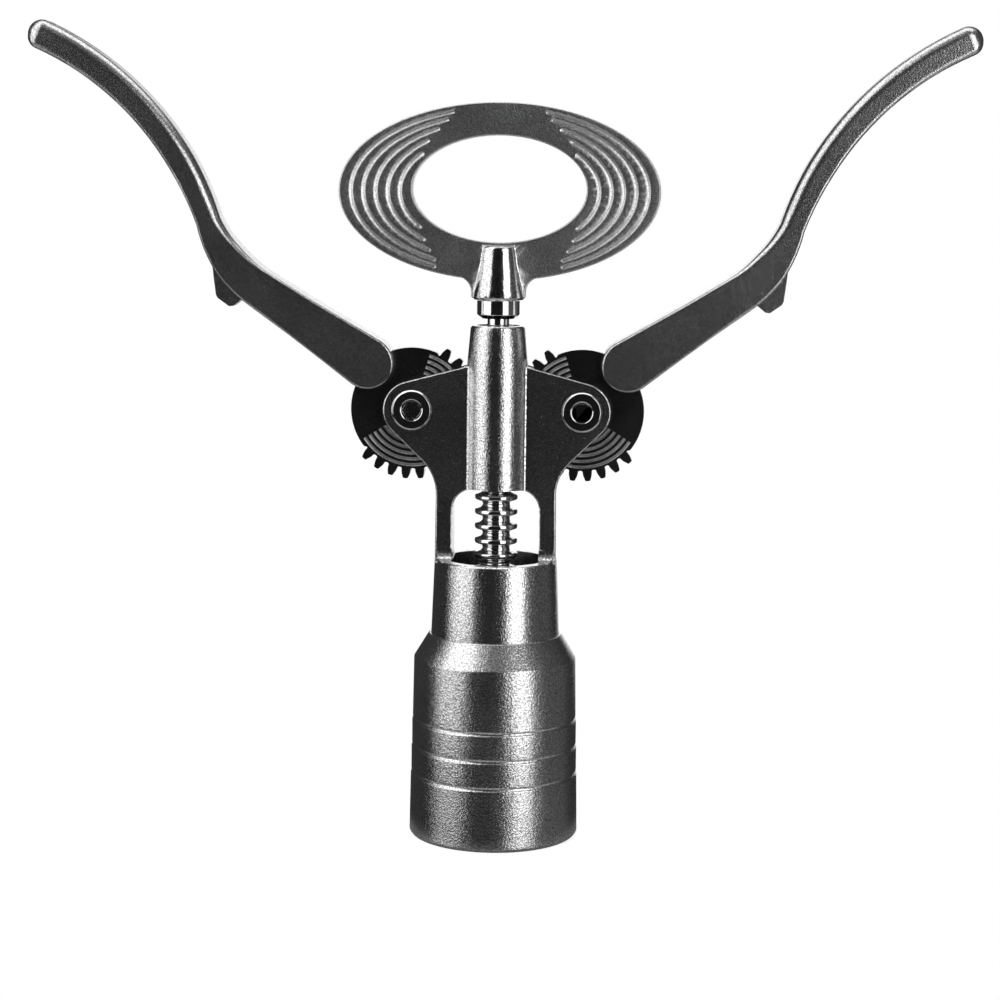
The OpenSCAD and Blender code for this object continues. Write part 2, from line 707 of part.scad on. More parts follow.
// Point and direction of the lever's middle line at length s, on the right side of the pivot
function lever_dir(s) =
    s < straight_len ? lever_rise :
    s < straight_len + bend_len ? lever_rise + (s - straight_len) / bend_r * 180 / PI :
    bend_end_dir - (s - straight_len - bend_len) / curve_r * 180 / PI;
function lever_point(s) =
    s < straight_len ? [lever_dx, lever_dz] + s * polar(1, lever_rise) :
    s < straight_len + bend_len ? bend_centre + bend_r * polar(1, lever_dir(s) - 90) :
    curve_centre + curve_r * polar(1, lever_dir(s) + 90);
curve_start = straight_len + bend_len;
// Half width at length s, and the rounding of the upper and lower edges there
function lever_w(s) = lookup(s, [
    [0, lever_end_r], [20, straight_w + 0.7], [straight_len, straight_w],
    [straight_len + 12, straight_w - 0.4], [curve_start, curve_w], [curve_start + 18, curve_w + 0.4],
    [lever_len - 20, tip_w - 0.2], [lever_len, tip_w]
]);
function upper_round(s) = lookup(s, [
    [0, edge_round], [straight_len, edge_round], [curve_start + 6, grip_round], [lever_len, grip_round]
]);
function lower_round(s) = lookup(s, [[curve_start + 10, edge_round], [lever_len, tip_low_round]]);
// Shrinking towards the two round ends
function end_share(s) =
    s < 0 ? sqrt(max(0, 1 - pow(s / lever_end_r, 2))) :
    s > lever_len - tip_w ? sqrt(max(0, 1 - pow((s - lever_len + tip_w) / tip_w, 2))) : 1;
bend_steps = 12;
curve_steps = 20;
lever_stations = concat(
    [for (a = [-84 : 12 : -12]) lever_end_r * sin(a)],
    [0, 12, 24, straight_len - 4],
    [for (i = [0 : bend_steps]) straight_len + bend_len * i / bend_steps],
    [for (i = [1 : curve_steps]) curve_start + (curve_len - tip_w) * i / curve_steps],
    [for (a = [12 : 12 : 84]) lever_len - tip_w + tip_w * sin(a)]
);
upper_steps = 8;
lower_steps = 3;
lever_sides = 2 * (upper_steps + lower_steps + 2);
// Cross-section of the lever in [across, depth], with its own rounding on the upper and lower edges
function lever_section(w, h, upper, lower) = concat(
    arc(w - upper, h - upper, upper, 0, 90, upper_steps),
    arc(lower - w, h - lower, lower, 90, 180, lower_steps),
    arc(lower - w, lower - h, lower, 180, 270, lower_steps),
    arc(w - upper, upper - h, upper, 270, 360, upper_steps)
);
function lever_ring(s) = let (
    p = lever_point(max(0, s)) + (s < 0 ? s * polar(1, lever_rise) : [0, 0]),
    across = polar(1, lever_dir(max(0, s)) + 90),
    share = end_share(s),
    w = lever_w(max(0, s)) * share,
    h = lever_t / 2 - (s > lever_len - tip_w ? (1 - share) * tip_w : 0),
    upper = min(upper_round(s), 0.95 * w, 0.95 * h),
    lower = min(lower_round(s), 0.9 * w, 0.9 * h)
) [for (c = lever_section(w, h, upper, lower)) [p[0] + across[0] * c[0], c[1], p[1] + across[1] * c[0]]];

// Stop lug under the bend, as [along, outward] from the middle line; it ends the lever's swing
lug_outline = [
    [-10.1, 1], [-10, 7.7], [-9.3, 8.8], [-5.3, 9.9], [-4.2, 9.7], [-0.2, 7.2], [3, straight_w - 0.6], [3, 1]
];
module lever_lug() {
    s = straight_len + 0.45 * bend_len;
    along = polar(1, lever_dir(s));
    outward = polar(1, lever_dir(s) - 90);
    plate(lug_t) polygon([for (q = lug_outline) lever_point(s) + q[0] * along + q[1] * outward]);
}

module lever() {
    color("#8e9092") mirror([1, 0, 0]) translate([pivot_x, 0, pivot_z]) difference() {
        union() {
            tube_through([for (s = lever_stations) lever_ring(s)], lever_sides);
            lever_lug();
        }
        pivot_bar(gear_rim_r, -gear_t / 2, gear_t / 2);
    }
}
module lever_left() lever();
module lever_right() right_side() lever();

// ---- Bell ----

// Outer radius of the bell's wall at height z, stepping in a little at each groove
function bell_wall_r(z) = mix(bell_r, bell_top_r, min(1, z / (bell_len - cone_len)));
bell_grooves = [for (i = [0 : groove_count - 1])
    let (z = groove_z + i * groove_step, r = bell_wall_r(z)) each [
        [r + 0.08, z - groove_half], [r - groove_depth, z], [r - 0.08, z + groove_half]
    ]
];

module bell() {
    color("#b4b6b8") rotate_extrude() polygon(concat(
        [[bell_bore_r + 0.6, 0], [bell_r - 0.7, 0], [bell_r, 0.9]],
        bell_grooves,
        [[bell_top_r, bell_len - cone_len], [mouth_r, bell_len],
         [skirt_r + run_fit, bell_len], [skirt_r + run_fit, inner_cone_z + 1.3],
         [slide_bore_r, inner_cone_z], [slide_bore_r, guide_top_z],
         [bell_bore_r, guide_top_z], [bell_bore_r, 0.6]]
    ));
}

module bell_stop_ring() {
    z = (stop_ring_z + stop_ring_top_z) / 2;
    half = o_ring_section_r + 0.08;
    color("#b08d57") rotate_extrude() polygon([
        [thread_r, stop_ring_z], [stop_ring_r, stop_ring_z], [stop_ring_r, z - half],
        [o_ring_groove_r, z - half], [o_ring_groove_r, z + half], [stop_ring_r, z + half],
        [stop_ring_r, stop_ring_top_z], [thread_r, stop_ring_top_z]
    ]);
}

module bell_o_ring() {
    color("#1c1c1c")
        translate([0, 0, (stop_ring_z + stop_ring_top_z) / 2])
            rotate_extrude()
                translate([o_ring_groove_r + o_ring_section_r, 0]) circle(r = o_ring_section_r, $fn = 24);
}

module bottle_guide() {
    low_z = guide_top_z - guide_len;
    tube_out_r = neck_bore_r + guide_wall;
    color("#232325") rotate_extrude() polygon([
        [cork_bore_r, guide_top_z], [guide_r, guide_top_z], [guide_r, guide_top_z - 3],
        [tube_out_r, guide_top_z - 4.6], [tube_out_r, low_z + 13],
        [guide_r, low_z + 3], [guide_r, low_z], [guide_r - 1.4, low_z],
        [neck_bore_r, low_z + 12], [neck_bore_r, neck_seat_z], [cork_bore_r, neck_seat_z]
    ]);
}

frame_casting();
rack_spindle();
worm();
ring_handle();
handle_collar();
lever_left();
lever_right();
gear_left();
gear_right();
gear_bush_left();
gear_bush_right();
gear_washers_left();
gear_washers_right();
pivot_bolt_left();
pivot_bolt_right();
sleeve_nut_left();
sleeve_nut_right();
bell();
bell_stop_ring();
bell_o_ring();
bottle_guide();
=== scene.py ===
import json
import math

import bmesh
import bpy
from mathutils import Matrix, Vector


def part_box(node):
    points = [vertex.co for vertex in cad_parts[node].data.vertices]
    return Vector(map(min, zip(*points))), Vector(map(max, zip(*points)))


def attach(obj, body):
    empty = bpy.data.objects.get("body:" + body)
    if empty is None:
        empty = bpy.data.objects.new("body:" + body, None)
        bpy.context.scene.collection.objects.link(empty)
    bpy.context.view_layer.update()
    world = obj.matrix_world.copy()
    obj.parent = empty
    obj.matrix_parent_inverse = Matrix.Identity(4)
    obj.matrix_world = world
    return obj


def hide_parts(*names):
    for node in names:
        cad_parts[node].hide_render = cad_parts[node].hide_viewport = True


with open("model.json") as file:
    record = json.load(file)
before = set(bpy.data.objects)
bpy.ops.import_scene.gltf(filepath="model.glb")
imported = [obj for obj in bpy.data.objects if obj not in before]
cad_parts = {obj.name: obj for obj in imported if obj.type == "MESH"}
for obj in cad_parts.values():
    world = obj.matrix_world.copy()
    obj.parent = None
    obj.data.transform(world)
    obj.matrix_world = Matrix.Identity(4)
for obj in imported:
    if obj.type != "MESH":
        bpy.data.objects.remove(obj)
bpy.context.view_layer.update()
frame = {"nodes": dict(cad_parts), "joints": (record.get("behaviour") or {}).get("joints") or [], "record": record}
mm = 0.001
print("frame loaded:", len(frame["nodes"]), "nodes")

# Heights and sizes that the pieces share, read from the frame
pivotJoint = next(j for j in frame["joints"] if j["name"] == "right_lever_swing")
pivotX, pivotZ = pivotJoint["pos_m"][0], pivotJoint["pos_m"][2]
_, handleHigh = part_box("ring_handle")


cameraLook = {
    "distance": 0.660,      # from the spindle's axis
    "height": 0.1914,
    "lens": 79.74,          # on a 36 mm sensor
    "pitch": 7.713,         # degrees down
    "yaw": 2.6,             # degrees to the right of the front
    "roll": 0.62,
    "shiftX": 0.0035,
}


def makeCamera(look):
    pitch, yaw, roll = (math.radians(look[k]) for k in ("pitch", "yaw", "roll"))
    place = Vector((math.sin(yaw), -math.cos(yaw), 0)) * look["distance"]
    place.z = look["height"]
    level = Vector((-math.sin(yaw), math.cos(yaw), 0))
    ahead = level * math.cos(pitch) - Vector((0, 0, math.sin(pitch)))
    right = Vector((math.cos(yaw), math.sin(yaw), 0))
    up = right.cross(ahead)
    axes = Matrix((right, up, -ahead)).transposed() @ Matrix.Rotation(roll, 3, "Z")
    data = bpy.data.cameras.new("photoCamera")
    data.lens = look["lens"]
    data.sensor_width = 36
    data.shift_x = look["shiftX"]
    data.clip_start, data.clip_end = 0.01, 50
    camera = bpy.data.objects.new("photoCamera", data)
    camera.matrix_world = Matrix.Translation(place) @ axes.to_4x4()
    bpy.context.scene.collection.objects.link(camera)
    bpy.context.scene.camera = camera


makeCamera(cameraLook)
print("camera placed")


def addNode(tree, kind, **values):
    node = tree.nodes.new(kind)
    for key, value in values.items():
        setattr(node, key, value)
    return node


def feed(tree, socket, source):
    # source is an output socket, or a plain value
    if isinstance(source, bpy.types.NodeSocket):
        tree.links.new(source, socket)
    else:
        socket.default_value = source


def mathNode(tree, operation, *inputs, clamp=False):
    node = addNode(tree, "ShaderNodeMath", operation=operation, use_clamp=clamp)
    for socket, source in zip(node.inputs, inputs):
        feed(tree, socket, source)
    return node.outputs[0]


def rampBetween(tree, value, low, high, start=0.0, end=1.0):
    # Smooth step of value from low to high, put out as start to end
    node = addNode(tree, "ShaderNodeMapRange", interpolation_type="SMOOTHSTEP")
    limits = {"Value": value, "From Min": low, "From Max": high, "To Min": start, "To Max": end}
    for name, source in limits.items():
        feed(tree, node.inputs[name], source)
    return node.outputs["Result"]


def mixColours(tree, share, first, second):
    node = addNode(tree, "ShaderNodeMix", data_type="RGBA")
    feed(tree, node.inputs["Factor"], share)
    feed(tree, node.inputs["A"], first)
    feed(tree, node.inputs["B"], second)
    return node.outputs["Result"]


def mixShaders(tree, share, first, second):
    node = addNode(tree, "ShaderNodeMixShader")
    feed(tree, node.inputs[0], share)
    tree.links.new(first.outputs[0], node.inputs[1])
    tree.links.new(second.outputs[0], node.inputs[2])
    return node


def noiseNode(tree, vector, scale, detail=2.0, roughness=0.5):
    node = addNode(tree, "ShaderNodeTexNoise")
    feed(tree, node.inputs["Vector"], vector)
    feed(tree, node.inputs["Scale"], scale)
    feed(tree, node.inputs["Detail"], detail)
    feed(tree, node.inputs["Roughness"], roughness)
    return node.outputs["Fac"]


def newGroup(name, inputs, outputs):
    # inputs and outputs are {name: (kind, default)}
    tree = bpy.data.node_groups.new(name, "ShaderNodeTree")
    for direction, sockets in (("INPUT", inputs), ("OUTPUT", outputs)):
        for label, (kind, default) in sockets.items():
            socket = tree.interface.new_socket(label, in_out=direction, socket_type=f"NodeSocket{kind}")
            if default is not None:
                socket.default_value = default
    return tree, tree.nodes.new("NodeGroupInput").outputs, tree.nodes.new("NodeGroupOutput").inputs


def useGroup(tree, group, **values):
    node = addNode(tree, "ShaderNodeGroup", node_tree=group)
    for key, value in values.items():
        feed(tree, node.inputs[key], value)
    return node.outputs


grainMix = {
    "broadScale": 0.55,                     # of the coarse noise, as a share of the fine one's
    "fineShare": 0.72, "broadShare": 0.28,
    "speckLevels": (0.51, 0.64), "pitLevels": (0.49, 0.36),
}


def makeBlastGrain(mix):
    # Fine grain of a bead-blasted casting: a height, and masks of its bright specks and dark pits
    tree, inputs, outputs = newGroup(
        "blastGrain",
        {"Vector": ("Vector", None), "Scale": ("Float", 2200.0)},
        {"Height": ("Float", None), "Specks": ("Float", None), "Pits": ("Float", None)},
    )
    broadScale = mathNode(tree, "MULTIPLY", inputs["Scale"], mix["broadScale"])
    fine = noiseNode(tree, inputs["Vector"], inputs["Scale"], detail=2.0, roughness=0.6)
    broad = noiseNode(tree, inputs["Vector"], broadScale, detail=1.0)
    fineHeight = mathNode(tree, "MULTIPLY", fine, mix["fineShare"])
    broadHeight = mathNode(tree, "MULTIPLY", broad, mix["broadShare"])
    feed(tree, outputs["Height"], mathNode(tree, "ADD", fineHeight, broadHeight))
    feed(tree, outputs["Specks"], rampBetween(tree, fine, *mix["speckLevels"]))
    feed(tree, outputs["Pits"], rampBetween(tree, fine, *mix["pitLevels"]))
    return tree


def makeTurnedLines():
    # Faint rings that a lathe leaves round the Z axis: a height
    tree, inputs, outputs = newGroup(
        "turnedLines",
        {"Vector": ("Vector", None), "Spacing": ("Float", 4200.0), "Break": ("Float", 60.0)},
        {"Height": ("Float", None)},
    )
    parts = addNode(tree, "ShaderNodeSeparateXYZ")
    feed(tree, parts.inputs[0], inputs["Vector"])
    stretched = addNode(tree, "ShaderNodeCombineXYZ")
    feed(tree, stretched.inputs[0], mathNode(tree, "MULTIPLY", parts.outputs[0], inputs["Break"]))
    feed(tree, stretched.inputs[1], mathNode(tree, "MULTIPLY", parts.outputs[1], inputs["Break"]))
    feed(tree, stretched.inputs[2], mathNode(tree, "MULTIPLY", parts.outputs[2], inputs["Spacing"]))
    feed(tree, outputs["Height"], noiseNode(tree, stretched.outputs[0], 1.0, detail=3.0, roughness=0.6))
    return tree


smearLevels = (0.35, 0.68)


def makeHandling():
    # Broad, soft change of finish from hands and cloths: a mask
    tree, inputs, outputs = newGroup(
        "handling",
        {"Vector": ("Vector", None), "Scale": ("Float", 60.0)},
        {"Mask": ("Float", None)},
    )
    smear = noiseNode(tree, inputs["Vector"], inputs["Scale"], detail=4.0, roughness=0.6)
    feed(tree, outputs["Mask"], rampBetween(tree, smear, *smearLevels))
    return tree


scratchShape = {
    "stretch": (1.0, 1.0, 0.08), "fineness": 6.0,
    "lineLevels": (0.70, 0.74), "patchLevels": (0.55, 0.66),
}


def makeScratches(shape):
    # Sparse hairline scratches, in patches: a mask
    tree, inputs, outputs = newGroup(
        "scratches",
        {"Vector": ("Vector", None), "Scale": ("Float", 260.0)},
        {"Mask": ("Float", None)},
    )
    bent = addNode(tree, "ShaderNodeVectorMath", operation="MULTIPLY")
    feed(tree, bent.inputs[0], inputs["Vector"])
    bent.inputs[1].default_value = shape["stretch"]
    lineScale = mathNode(tree, "MULTIPLY", inputs["Scale"], shape["fineness"])
    lines = rampBetween(tree, noiseNode(tree, bent.outputs[0], lineScale, detail=1.0), *shape["lineLevels"])
    patches = noiseNode(tree, inputs["Vector"], inputs["Scale"], detail=2.0)
    patches = rampBetween(tree, patches, *shape["patchLevels"])
    feed(tree, outputs["Mask"], mathNode(tree, "MULTIPLY", lines, patches))
    return tree


def makeEdgeWearAndHighlight():
    # Where handling has rubbed an edge bright, together with a painted highlight along every outer edge: a mask
    tree, inputs, outputs = newGroup(
        "edgeWearAndHighlight",
        {"Reach": ("Float", 0.0006), "Low": ("Float", 0.02), "High": ("Float", 0.2)},
        {"Mask": ("Float", None)},
    )
    rounded = addNode(tree, "ShaderNodeBevel", samples=4)
    feed(tree, rounded.inputs["Radius"], inputs["Reach"])
    flat = addNode(tree, "ShaderNodeNewGeometry")
    turned = addNode(tree, "ShaderNodeVectorMath", operation="DOT_PRODUCT")
    feed(tree, turned.inputs[0], rounded.outputs[0])
    feed(tree, turned.inputs[1], flat.outputs["Normal"])
    bend = mathNode(tree, "SUBTRACT", 1.0, turned.outputs["Value"])
    feed(tree, outputs["Mask"], rampBetween(tree, bend, inputs["Low"], inputs["High"]))
    return tree


blastGrain = makeBlastGrain(grainMix)
turnedLines = makeTurnedLines()
handling = makeHandling()
scratches = makeScratches(scratchShape)
edgeWearAndHighlight = makeEdgeWearAndHighlight()
print("shared effects built")


def startMaterial(name, metallic, ior=1.5):
    material = bpy.data.materials.new(name)
    material.use_nodes = True
    tree = material.node_tree
    tree.nodes.clear()
    shader = addNode(tree, "ShaderNodeBsdfPrincipled")
    shader.inputs["Metallic"].default_value = metallic
    shader.inputs["IOR"].default_value = ior
    output = addNode(tree, "ShaderNodeOutputMaterial")
    tree.links.new(shader.outputs[0], output.inputs["Surface"])
    place = addNode(tree, "ShaderNodeTexCoord").outputs["Object"]
    return material, tree, shader, place


def grey(level):
    return (level, level, level, 1.0)


def addBump(tree, shader, height, depth):
    bump = addNode(tree, "ShaderNodeBump")
    bump.inputs["Strength"].default_value = 1.0
    bump.inputs["Distance"].default_value = depth
    feed(tree, bump.inputs["Height"], height)
    feed(tree, shader.inputs["Normal"], bump.outputs[0])


def metalMaterial(name, look):
    # Grain, turned lines, handling marks, scratches and rubbed edges with a painted edge highlight, each as strong
    # as its look says
    material, tree, shader, place = startMaterial(name, 1.0)
    grain = useGroup(tree, blastGrain, Vector=place, Scale=look["grainScale"])
    smear = useGroup(tree, handling, Vector=place, Scale=look["smearScale"])["Mask"]
    marks = useGroup(tree, scratches, Vector=place)["Mask"]
    rubAndSheen = useGroup(tree, edgeWearAndHighlight)["Mask"]
    lines = useGroup(tree, turnedLines, Vector=place, Spacing=look["lineSpacing"])["Height"]
    body = mixColours(tree, smear, look["dark"], look["light"])
    # The bright colour on rubbed edges is partly edge wear and partly a painted highlight along the edges
    for mask, share, colour in ((grain["Specks"], "speckShare", "bright"), (grain["Pits"], "pitShare", "pit"),
                                (rubAndSheen, "rubAndSheenShare", "bright")):
        body = mixColours(tree, mathNode(tree, "MULTIPLY", mask, look[share]), body, look[colour])
    feed(tree, shader.inputs["Base Color"], body)
    rough = rampBetween(tree, smear, 0.0, 1.0, look["roughLow"], look["roughHigh"])
    rough = mathNode(tree, "SUBTRACT", rough, mathNode(tree, "MULTIPLY", rubAndSheen, look["rubPolish"]))
    rough = mathNode(tree, "ADD", rough, mathNode(tree, "MULTIPLY", marks, look["scratchRough"]), clamp=True)
    feed(tree, shader.inputs["Roughness"], rough)
    height = mathNode(tree, "ADD", mathNode(tree, "MULTIPLY", grain["Height"], look["grainDepth"]),
                      mathNode(tree, "MULTIPLY", lines, look["lineDepth"]))
    height = mathNode(tree, "SUBTRACT", height, mathNode(tree, "MULTIPLY", marks, look["scratchDepth"]))
    addBump(tree, shader, height, mm)
    return material


castingLook = {
    # Here and in the looks below, what ends in Depth is in mm
    "dark": grey(0.58), "light": grey(0.64), "bright": grey(0.92), "pit": grey(0.26),
    "speckShare": 0.85, "pitShare": 0.7,
    "roughLow": 0.19, "roughHigh": 0.205, "rubPolish": 0.04, "rubAndSheenShare": 0.6,
    "grainScale": 2000.0, "grainDepth": 0.115,
    "lineSpacing": 2000.0, "lineDepth": 0.0,
    "smearScale": 55.0, "scratchDepth": 0.001, "scratchRough": 0.03,
}
handleLook = dict(castingLook, dark=grey(0.54), light=grey(0.60), roughLow=0.29, roughHigh=0.31,
                  grainScale=2600.0, speckShare=0.5, pitShare=0.5)
bossLook = dict(castingLook, dark=grey(0.66), light=grey(0.70), roughLow=0.13, roughHigh=0.15,
                grainDepth=0.03)
leverLook = dict(castingLook, dark=grey(0.53), light=grey(0.56), roughLow=0.25, roughHigh=0.265,
                 grainScale=2200.0, grainDepth=0.08, speckShare=0.7, pitShare=0.7,
                 scratchDepth=0.0, scratchRough=0.01)
bellLook = dict(castingLook, dark=grey(0.62), light=grey(0.66), roughLow=0.22, roughHigh=0.235,
                grainScale=2100.0, grainDepth=0.11, lineDepth=0.006, lineSpacing=3600.0)
polishedLook = dict(castingLook, dark=grey(0.74), light=grey(0.80), roughLow=0.08, roughHigh=0.11,
                    grainDepth=0.006, speckShare=0.2, pitShare=0.2, rubPolish=0.02, lineDepth=0.002)
wormLook = dict(polishedLook, dark=grey(0.66), light=grey(0.74), roughLow=0.14, roughHigh=0.18)
gearLook = dict(castingLook, dark=grey(0.20), light=grey(0.24), bright=grey(0.42), pit=grey(0.12),
                roughLow=0.20, roughHigh=0.23, grainDepth=0.02, speckShare=0.3, rubAndSheenShare=0.4)
# Lighter colour for the gear's turned lines: a painted highlight along them, on a rougher finish
gearLineHighlightLook = dict(gearLook, dark=grey(0.38), light=grey(0.44), bright=grey(0.72), pit=grey(0.30),
                    roughLow=0.36, roughHigh=0.40)
washerLook = dict(castingLook, dark=grey(0.48), light=grey(0.54), grainDepth=0.010, lineDepth=0.004,
                  speckShare=0.3, pitShare=0.3)
bronzeLook = dict(castingLook, dark=(0.60, 0.43, 0.22, 1), light=(0.69, 0.52, 0.28, 1),
                  bright=(0.82, 0.66, 0.40, 1), pit=(0.34, 0.23, 0.11, 1),
                  roughLow=0.32, roughHigh=0.38, grainDepth=0.014)
brassLook = dict(castingLook, dark=(0.69, 0.54, 0.26, 1), light=(0.75, 0.60, 0.30, 1),
                 bright=(0.88, 0.76, 0.46, 1), pit=(0.45, 0.34, 0.15, 1),
                 roughLow=0.22, roughHigh=0.26, grainDepth=0.006, lineDepth=0.008,
                 speckShare=0.3, pitShare=0.2)
rubberLook = {
    "ior": 1.52, "dark": grey(0.022), "light": grey(0.045), "roughLow": 0.55, "roughHigh": 0.72,
    "grainScale": 3200.0, "smearScale": 140.0, "speckRough": 0.0, "grainDepth": 0.02,
}
nylonLook = {
    "ior": 1.53, "dark": grey(0.035), "light": grey(0.06), "roughLow": 0.38, "roughHigh": 0.50,
    "grainScale": 1500.0, "smearScale": 80.0, "speckRough": 0.1, "grainDepth": 0.03,
}


def mouldedMaterial(name, look):
    # Rubber or plastic with the fine grain of its mould
    material, tree, shader, place = startMaterial(name, 0.0, look["ior"])
    grain = useGroup(tree, blastGrain, Vector=place, Scale=look["grainScale"])
    smear = useGroup(tree, handling, Vector=place, Scale=look["smearScale"])["Mask"]
    feed(tree, shader.inputs["Base Color"], mixColours(tree, smear, look["dark"], look["light"]))
    rough = mathNode(tree, "ADD", rampBetween(tree, smear, 0.0, 1.0, look["roughLow"], look["roughHigh"]),
                     mathNode(tree, "MULTIPLY", grain["Specks"], look["speckRough"]))
    feed(tree, shader.inputs["Roughness"], rough)
    addBump(tree, shader, grain["Height"], look["grainDepth"] * mm)
    return material


satinCasting = metalMaterial("satinCasting", castingLook)
satinHandle = metalMaterial("satinHandle", handleLook)
polishedBoss = metalMaterial("polishedBoss", bossLook)
satinLever = metalMaterial("satinLever", leverLook)
satinBell = metalMaterial("satinBell", bellLook)
polishedSteel = metalMaterial("polishedSteel", polishedLook)
wormSteel = metalMaterial("wormSteel", wormLook)
darkGearSteel = metalMaterial("darkGearSteel", gearLook)
gearLineHighlightSteel = metalMaterial("gearLineHighlightSteel", gearLineHighlightLook)
washerSteel = metalMaterial("washerSteel", washerLook)
bearingBronze = metalMaterial("bearingBronze", bronzeLook)
ringBrass = metalMaterial("ringBrass", brassLook)
blackRubber = mouldedMaterial("blackRubber", rubberLook)
blackNylon = mouldedMaterial("blackNylon", nylonLook)
print("materials built")


bodyOf = {node: body for body, nodes in frame["record"]["behaviour"]["bodies"].items() for node in nodes}


mergeWithin = 1e-6
tinyEdge = 2e-5
flatUnder = 0.5             # degrees
flatMargin = 0.02 * mm      # how far a point may lie off a plane that it belongs to


def copyOfNode(node):
    # A CAD node's surface as clean faces: doubles merged, flat areas joined
    bm = bmesh.new()
    bm.from_mesh(frame["nodes"][node].data)
    bmesh.ops.remove_doubles(bm, verts=bm.verts, dist=mergeWithin)
    bmesh.ops.dissolve_degenerate(bm, edges=bm.edges, dist=tinyEdge)
    bmesh.ops.dissolve_limit(bm, angle_limit=math.radians(flatUnder), verts=bm.verts, edges=bm.edges)
    return bm


def roundEdges(bm, width, least=30, segments=2, chosen=None, clamp=True):
    # Rounds the outer edges that turn by more than least degrees
    turn = math.radians(least)
    edges = [e for e in bm.edges if e.is_manifold and e.is_convex and e.calc_face_angle(0) > turn
             and (chosen is None or chosen(e))]
    if edges:
        bmesh.ops.bevel(bm, geom=edges, offset=width, offset_type="OFFSET", affect="EDGES",
                        segments=segments, profile=0.5, material=-1, clamp_overlap=clamp)


def liesAt(edge, depth):
    # Whether an edge lies in a front or back face, depth away from the middle plane
    return all(abs(abs(v.co.y) - depth) < flatMargin for v in edge.verts)


def finishPiece(bm, name, node, materials, smoothUnder=32):
    mesh = bpy.data.meshes.new(name)
    bm.to_mesh(mesh)
    bm.free()
    for polygon in mesh.polygons:
        polygon.use_smooth = True
    mesh.set_sharp_from_angle(angle=math.radians(smoothUnder))
    for material in materials:
        mesh.materials.append(material)
    piece = bpy.data.objects.new(name, mesh)
    bpy.context.scene.collection.objects.link(piece)
    weighted = piece.modifiers.new("flatFaces", "WEIGHTED_NORMAL")
    weighted.keep_sharp = True
    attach(piece, bodyOf[node])
    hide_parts(node)
    return piece


roundedNodes = {
    # CAD node: (name of the piece, width of its rounded edges, material)
    "bell": ("bellShell", 0.20 * mm, satinBell),
    "lever_left": ("leverArmLeft", 0.15 * mm, satinLever),
    "lever_right": ("leverArmRight", 0.15 * mm, satinLever),
    "handle_collar": ("collar", 0.18 * mm, polishedSteel),
    "pivot_bolt_left": ("boltLeft", 0.12 * mm, polishedSteel),
    "pivot_bolt_right": ("boltRight", 0.12 * mm, polishedSteel),
    "sleeve_nut_left": ("nutLeft", 0.12 * mm, polishedSteel),
    "sleeve_nut_right": ("nutRight", 0.12 * mm, polishedSteel),
}
for node, (pieceName, width, material) in roundedNodes.items():
    bm = copyOfNode(node)
    roundEdges(bm, width)
    piece = finishPiece(bm, pieceName, node, [material])
    print("piece", pieceName, len(piece.data.polygons), "faces")


gearSizes = {
    "edgeRound": 0.10 * mm,
    "lineInner": 6.5 * mm, "lineOuter": 17.5 * mm,      # the turned lines lie between these radii
    "lineLeast": 0.01 * mm, "lineMost": 0.4 * mm,       # and between these depths under the face
}


def makeGearWheel(node, name, sizes, middleX):
    # The lines turned into its faces get a lighter colour than the rest, a painted highlight along the lines
    bm = copyOfNode(node)

    def fromPivot(point):
        return math.hypot(point.x - middleX, point.z - pivotZ)

    half = max(abs(v.co.y) for v in bm.verts if fromPivot(v.co) > sizes["lineOuter"])
    roundEdges(bm, sizes["edgeRound"])
    for f in bm.faces:
        middle = f.calc_center_median()
        amongLines = sizes["lineInner"] < fromPivot(middle) < sizes["lineOuter"]
        if amongLines and sizes["lineLeast"] < half - abs(middle.y) < sizes["lineMost"]:
            f.material_index = 1
    return finishPiece(bm, name, node, [darkGearSteel, gearLineHighlightSteel])


gearWheels = {"gear_left": ("gearWheelLeft", -pivotX), "gear_right": ("gearWheelRight", pivotX)}
for node, (pieceName, middleX) in gearWheels.items():
    piece = makeGearWheel(node, pieceName, gearSizes, middleX)
    print("piece", piece.name, len(piece.data.polygons), "faces")


frameSizes = {"outlineRound": 0.5 * mm, "otherRound": 0.15 * mm, "boltClear": 7 * mm}


def makeFrameCasting(sizes):
    # The cheeks' outline is rounded more than the other edges
    bm = copyOfNode("frame_casting")
    cheekFace = max(abs(v.co.y) for v in bm.verts if abs(v.co.x) > pivotX)

    def onOutline(edge):
        middle = (edge.verts[0].co + edge.verts[1].co) / 2
        away = math.hypot(abs(middle.x) - pivotX, middle.z - pivotZ)
        return liesAt(edge, cheekFace) and away > sizes["boltClear"]

    roundEdges(bm, sizes["outlineRound"], least=50, segments=3, chosen=onOutline, clamp=False)
    roundEdges(bm, sizes["otherRound"], least=40)
    return finishPiece(bm, "frameCasting", "frame_casting", [satinCasting])


piece = makeFrameCasting(frameSizes)
print("piece", piece.name, len(piece.data.polygons), "faces")


